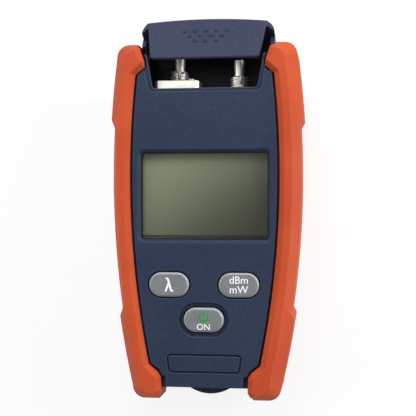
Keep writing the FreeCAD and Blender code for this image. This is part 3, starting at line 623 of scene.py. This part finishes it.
def skin(form, x, z, angles, rings, closed=True):
    """Joins rings about the Y axis through x, z. A ring is its y and a radius for each angle."""
    loops = []
    for y, radii in rings:
        loops.append([
            form.verts.new((x + r * math.sin(turn), y, z + r * math.cos(turn)))
            for turn, r in zip(angles, radii)
        ])
    for a, b in zip(loops, loops[1:]):
        for i in range(len(angles)):
            j = (i + 1) % len(angles)
            form.faces.new((a[i], a[j], b[j], b[i]))
    if closed:
        form.faces.new(loops[0])
        form.faces.new(loops[-1][::-1])
    bmesh.ops.remove_doubles(form, verts=form.verts, dist=1e-7)
    bmesh.ops.dissolve_degenerate(form, edges=form.edges, dist=1e-7)


def turned_port(form, x, z, low_y, thread_low, collar_y, tube_y, slot_turn):
    """Threaded collar with its key slot, tube and bore, as one skin of rings."""
    slot_half = math.asin(SLOT_WIDTH / 2 / COLLAR_RADIUS)
    slit_half = math.asin(SLIT_WIDTH / 2 / TUBE_RADIUS)
    slot = math.radians(slot_turn)
    even = [2 * math.pi * i / TURNS - math.pi for i in range(TURNS)]
    cuts = [
        slot + side * half * grow
        for side in (-1, 1) for half in (slot_half, slit_half) for grow in (0.97, 1.03)
    ]
    angles = sorted([a for a in even if min(abs(a - c) for c in cuts) > CUT_CLEARANCE] + cuts)

    def ring(y, radius_at, half, floor):
        return y, [floor if abs(a - slot) < half else radius_at(a) for a in angles]

    def thread_radius(y):
        run_in = (y - thread_low) / THREAD_PITCH
        run_out = (collar_y - y) / THREAD_PITCH - THREAD_RUN_OUT
        run = min(run_in, run_out, 1.0)

        def at(angle):
            wave = abs(((y / THREAD_PITCH + angle / (2 * math.pi)) % 1.0) * 2 - 1)
            ridge = min(1.0, max(0.0, wave * RIDGE_SLOPE - RIDGE_FLOOR))
            return COLLAR_RADIUS - THREAD_DEPTH * (1 - ridge * max(0.0, run))
        return at

    root = COLLAR_RADIUS - THREAD_DEPTH
    slot_low = collar_y - SLOT_LENGTH
    rings = [ring(y, lambda a: root, 0, 0) for y in (low_y, thread_low)]
    row_count = int((collar_y - COLLAR_CHAMFER - thread_low) / THREAD_STEP)
    rows = [thread_low + THREAD_STEP * i for i in range(1, row_count)]
    slot_floor = [slot_low - 0.00001, slot_low + 0.00001]
    rows = sorted([y for y in rows if abs(y - slot_low) > 0.00003] + slot_floor)
    rings += [ring(y, thread_radius(y), slot_half if y > slot_low else 0, TUBE_RADIUS) for y in rows]
    lip = ((root, collar_y - COLLAR_CHAMFER), (root - COLLAR_CHAMFER, collar_y))
    rings += [ring(y, lambda a, r=r: r, slot_half, TUBE_RADIUS) for r, y in lip]
    tube = [
        (TUBE_RADIUS, collar_y), (TUBE_RADIUS, tube_y - COLLAR_CHAMFER),
        (TUBE_RADIUS - 0.0001, tube_y - 0.0001), (TUBE_RADIUS - COLLAR_CHAMFER, tube_y),
        (MOUTH_RADIUS, tube_y),
    ]
    rings += [ring(y, lambda a, r=r: r, slit_half, SLIT_FLOOR) for r, y in tube]
    bore = (tube_y - COLLAR_CHAMFER, tube_y - BORE_DEPTH)
    rings += [ring(y, lambda a: BORE_RADIUS, 0, 0) for y in bore]
    skin(form, x, z, angles, rings)


def bevelled_plate(form, x, z, half, low_y, high_y, corner=0.0013, bevel=0.00025):
    """A square flange seen along Y with cut corners and a fine bevel on its front."""
    def outline(h, y):
        c = corner
        points = [
            (-h + c, -h), (h - c, -h), (h, -h + c), (h, h - c),
            (h - c, h), (-h + c, h), (-h, h - c), (-h, -h + c),
        ]
        return [form.verts.new((x + px, y, z + pz)) for px, pz in points]

    loops = [outline(half, low_y), outline(half, high_y - bevel), outline(half - bevel, high_y)]
    for a, b in zip(loops, loops[1:]):
        for i in range(8):
            j = (i + 1) % 8
            form.faces.new((a[i], a[j], b[j], b[i]))
    form.faces.new(loops[0])
    form.faces.new(loops[-1][::-1])


nickel = Finish("bright_nickel", Metallic=1.0)
tarnish = nickel.noise(0.0025, 4)
# The key slot and thread grooves are painted darker: painted shade.
groove_shade = nickel.painted_crevice_shade(0.0020, 0.50, 0.25)
plating = nickel.mix(tarnish.ramp(0.45, 0.75), NICKEL, NICKEL_DULL)
nickel.gives(Base_Color=nickel.mix(groove_shade, plating, NICKEL_PAINTED_SHADE), Roughness=0.34 + tarnish * 0.08)
ceramic = Finish("zirconia_sleeve", IOR=2.1, Subsurface_Weight=0.1)
lapped = ceramic.noise(0.0006, 2)
ceramic.gives(
    Base_Color=ceramic.mix(lapped, (0.74, 0.73, 0.69), (0.84, 0.83, 0.80)), Roughness=0.12 + lapped * 0.1,
    Normal=ceramic.bump(lapped, 0.00001, 0.3),
)

# name: x, half of the flange, flange from and to, tops of collar and tube, turn of the key slot
PORTS = {
    "detector_port": (-0.0122, 0.0089, (0.0464, 0.0504), (0.0548, 0.0602), 5.0),
    "laser_port": (0.0123, 0.0078, (0.0424, 0.0444), (0.0524, 0.0591), 16.0),
}
for name, (port_x, flange_half, flange, tops, slot_turn) in PORTS.items():
    flange_low, flange_y = (y + PLAN_SHIFT for y in flange)
    collar_y, tube_y = (y + PLAN_SHIFT for y in tops)
    thread_low = max(flange_y, WALL_FRONT_Y + PLAN_SHIFT) + 0.0001
    mesh = bpy.data.meshes.new(name + "_turned")
    form = bmesh.new()
    turned_port(form, port_x, PORT_Z, flange_low + 0.0004, thread_low, collar_y, tube_y, slot_turn)
    bevelled_plate(form, port_x, PORT_Z, flange_half, flange_low, flange_y)
    bmesh.ops.recalc_face_normals(form, faces=form.faces)
    form.to_mesh(mesh)
    form.free()
    port = link(name + "_turned", mesh, "case")
    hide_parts(name)
    nickel.on(port)
    sleeve = bmesh.new()
    angles = [2 * math.pi * i / SLEEVE_SIDES for i in range(SLEEVE_SIDES)]
    sleeve_low, sleeve_top = tube_y - SLEEVE_LOW, tube_y - SLEEVE_TOP
    bore = [
        (sleeve_low, BORE_RADIUS), (sleeve_top, BORE_RADIUS),
        (sleeve_top, SLEEVE_RADIUS), (sleeve_low, SLEEVE_RADIUS),
    ]
    skin(sleeve, port_x, PORT_Z, angles, [(y, [r] * len(angles)) for y, r in bore], False)
    mesh = bpy.data.meshes.new(name + "_sleeve")
    sleeve.to_mesh(mesh)
    sleeve.free()
    ceramic.on(link(name + "_sleeve", mesh, "case"))

# --- Bay liner -------------------------------------------------------------------------
# A black ABS liner: a wall across the housing that the port flanges are screwed to, with
# a floor and two cheeks that close the bay off from the cover's arms.
black_abs = Finish("black_abs", IOR=1.5, Specular_IOR_Level=0.16)
grain = black_abs.noise(0.0004, 3)
dust = black_abs.noise(0.009, 4).ramp(0.55, 0.8)
black_abs.gives(
    Base_Color=black_abs.mix(dust * 0.4, (0.002, 0.002, 0.0025), (0.008, 0.008, 0.010)),
    Roughness=0.26 + grain * 0.12,
    Normal=black_abs.bump(grain, 0.00002, 0.4, black_abs.soft_edges(0.0005)),
)
black_abs.on(nodes["bulkhead"])

# --- Screws ----------------------------------------------------------------------------
# Zinc-plated pan heads with a cross recess. Four hold the port flanges, four long ones
# go through the back into the front housing's bosses.
zinc = Finish("zinc_plate", Metallic=1.0)
bloom = zinc.noise(0.0012, 4)
zinc.gives(
    Base_Color=zinc.mix(bloom.ramp(0.4, 0.8), (0.56, 0.57, 0.58), (0.36, 0.35, 0.33)),
    Roughness=0.26 + bloom * 0.22,
    Normal=zinc.bump(bloom, 0.00002, 0.5, zinc.soft_edges(0.0001)),
)
CROSS_STEPS = 48


def pan_head(form, seat, axis, head_r, head_h, shank_r, length):
    """One screw: a domed head with a tapered cross recess, and its shank below the seat."""
    axis = Vector(axis)
    side = axis.orthogonal().normalized()
    across = axis.cross(side)
    seat = Vector(seat)

    def ring(radius_at, height):
        loop = []
        for i in range(CROSS_STEPS):
            t = 2 * math.pi * i / CROSS_STEPS
            r = radius_at(t)
            at = seat + side * r * math.cos(t) + across * r * math.sin(t) + axis * height
            loop.append(form.verts.new(at))
        return loop

    def cross(reach, width):
        def radius(t):
            fold = abs((t + math.pi / 4) % (math.pi / 2) - math.pi / 4)
            if fold < math.pi / 4:
                return min(reach, width / max(math.sin(fold), 1e-6))
            return width / math.sin(fold)
        return radius

    reach, width = head_r * 0.62, head_r * 0.17
    loops = [
        ring(lambda t: shank_r, -length), ring(lambda t: shank_r, 0), ring(lambda t: head_r, 0),
        ring(lambda t: head_r, head_h * 0.55), ring(lambda t: head_r * 0.93, head_h * 0.85),
        ring(lambda t: head_r * 0.78, head_h), ring(cross(reach, width), head_h),
        ring(cross(reach * 0.75, width * 0.7), head_h * 0.35),
    ]
    for a, b in zip(loops, loops[1:]):
        for i in range(CROSS_STEPS):
            j = (i + 1) % CROSS_STEPS
            form.faces.new((a[i], a[j], b[j], b[i]))
    form.faces.new(loops[0])
    form.faces.new(loops[-1][::-1])


def screws(name, places, sizes):
    mesh = bpy.data.meshes.new(name)
    form = bmesh.new()
    for seat, axis in places:
        pan_head(form, seat, axis, *sizes)
    bmesh.ops.recalc_face_normals(form, faces=form.faces)
    form.to_mesh(mesh)
    form.free()
    group = link(name, mesh, "case")
    zinc.on(group)
    return group


# radius and height of the head, radius and length of the shank
PORT_SCREW = (0.0015, 0.0009, 0.00075, 0.0036)
PORT_SCREW_OFFSET = 0.0056
port_places = []
for name, seat_y, way in (("detector_port", 0.0504, 1), ("laser_port", 0.0424, -1)):
    for sign in (1, -1):
        offset = sign * PORT_SCREW_OFFSET
        seat = (PORTS[name][0] + offset, seat_y + PLAN_SHIFT, PORT_Z + offset)
        port_places.append((seat, (0, way, 0)))
port_group = screws("port_screws_cross", port_places, PORT_SCREW)
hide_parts("port_screws")
CASE_SCREW = (0.0021, 0.0016, 0.00105, 0.022)
CASE_SEAT_Z = 0.004
CASE_SCREWS = [(-0.0225, 0.033), (0.0225, 0.033), (-0.0217, -0.056), (0.0217, -0.056)]
case_places = [((x, y + PLAN_SHIFT, CASE_SEAT_Z), (0, 0, -1)) for x, y in CASE_SCREWS]
case_group = screws("case_screws_cross", case_places, CASE_SCREW)
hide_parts("case_screws")

# --- Circuit board ---------------------------------------------------------------------
# Green solder mask on glass laminate with copper under it. The processor, amplifiers,
# connector and sounder are epoxy; a stainless snap dome sits under each key.
board = Finish("solder_mask", IOR=1.5, Coat_Weight=0.3, Coat_Roughness=0.15)
tracks = board.node("ShaderNodeTexBrick", {"offset": 0.5}, {
    "Vector": board.place(), "Scale": 1.0,
    "Brick Width": 0.006, "Row Height": 0.0012, "Mortar Size": 0.00018,
}, out="Fac")
hole_grid = {"Vector": board.place(), "Scale": 320.0}
holes = board.node("ShaderNodeTexVoronoi", (), hole_grid, out="Distance") < 0.12
colour = board.mix(tracks, (0.012, 0.085, 0.035), (0.030, 0.165, 0.070))
board.gives(
    Base_Color=board.mix(holes, colour, (0.62, 0.47, 0.20)),
    Metallic=holes * 0.8,
    Roughness=0.32 + tracks * 0.1,
    Normal=board.bump(tracks, 0.00004, 0.6),
)
board.on(nodes["main_board"])

epoxy = Finish("black_epoxy", IOR=1.5)
grain = epoxy.noise(0.0002, 2)
epoxy.gives(
    Base_Color=epoxy.mix(grain, (0.014, 0.014, 0.015), (0.034, 0.034, 0.036)), Roughness=0.48 + grain * 0.2,
    Normal=epoxy.bump(grain, 0.00003, 0.6, epoxy.soft_edges(0.0001)),
)
epoxy.on(nodes["board_parts"])


def metal(name, colour, dull, roughness, brush):
    """Bare or plated sheet metal with fine drawing marks along Y."""
    sheet = Finish(name, Metallic=1.0)
    marks = sheet.noise(brush, 3, 0.6, (1, 12, 1))
    bloom = sheet.noise(0.004, 3)
    sheet.gives(
        Base_Color=sheet.mix(bloom.ramp(0.4, 0.8), colour, dull), Roughness=roughness + marks * 0.15,
        Normal=sheet.bump(marks, 0.00002, 0.5, sheet.soft_edges(0.00015)),
    )
    return sheet


spring = metal("spring_steel", (0.68, 0.67, 0.64), (0.50, 0.49, 0.46), 0.22, 0.0001)
spring.on(nodes["dome_switches"], nodes["cell_contacts"])
can = metal("drawn_can", (0.60, 0.58, 0.52), (0.44, 0.42, 0.38), 0.28, 0.00012)
can.on(nodes["detector_module"], nodes["laser_module"])

# --- Cells -----------------------------------------------------------------------------
# Two AA cells in a plain two-tone shrink sleeve with bare steel ends. They lie head to
# tail, so the paler band is at opposite ends.
sleeve = Finish("cell_sleeve", IOR=1.5, Coat_Weight=0.4, Coat_Roughness=0.12)
crinkle = sleeve.noise(0.003, 4)
BARE_END_Y, BAND_START_Y = 0.0238, 0.012
middle = 0.5 * (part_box("cell_left")[0].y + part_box("cell_left")[1].y)
from_middle = sleeve.along(1) - middle
left_half = sleeve.along(0) < 0.0
towards_plus = from_middle * (1.0 - left_half * 2.0)
end = from_middle.math("ABSOLUTE", from_middle) > BARE_END_Y
band = towards_plus > BAND_START_Y
colour = sleeve.mix(band, (0.035, 0.038, 0.045), (0.44, 0.30, 0.10))
colour = sleeve.mix(crinkle * 0.15, colour, (0.16, 0.16, 0.17))
sleeve.gives(
    Base_Color=sleeve.mix(end, colour, (0.62, 0.61, 0.58)),
    Metallic=end,
    Roughness=0.24 + crinkle * 0.12,
    Normal=sleeve.bump(crinkle, 0.00008, 0.4),
)
sleeve.on(nodes["cell_left"], nodes["cell_right"])
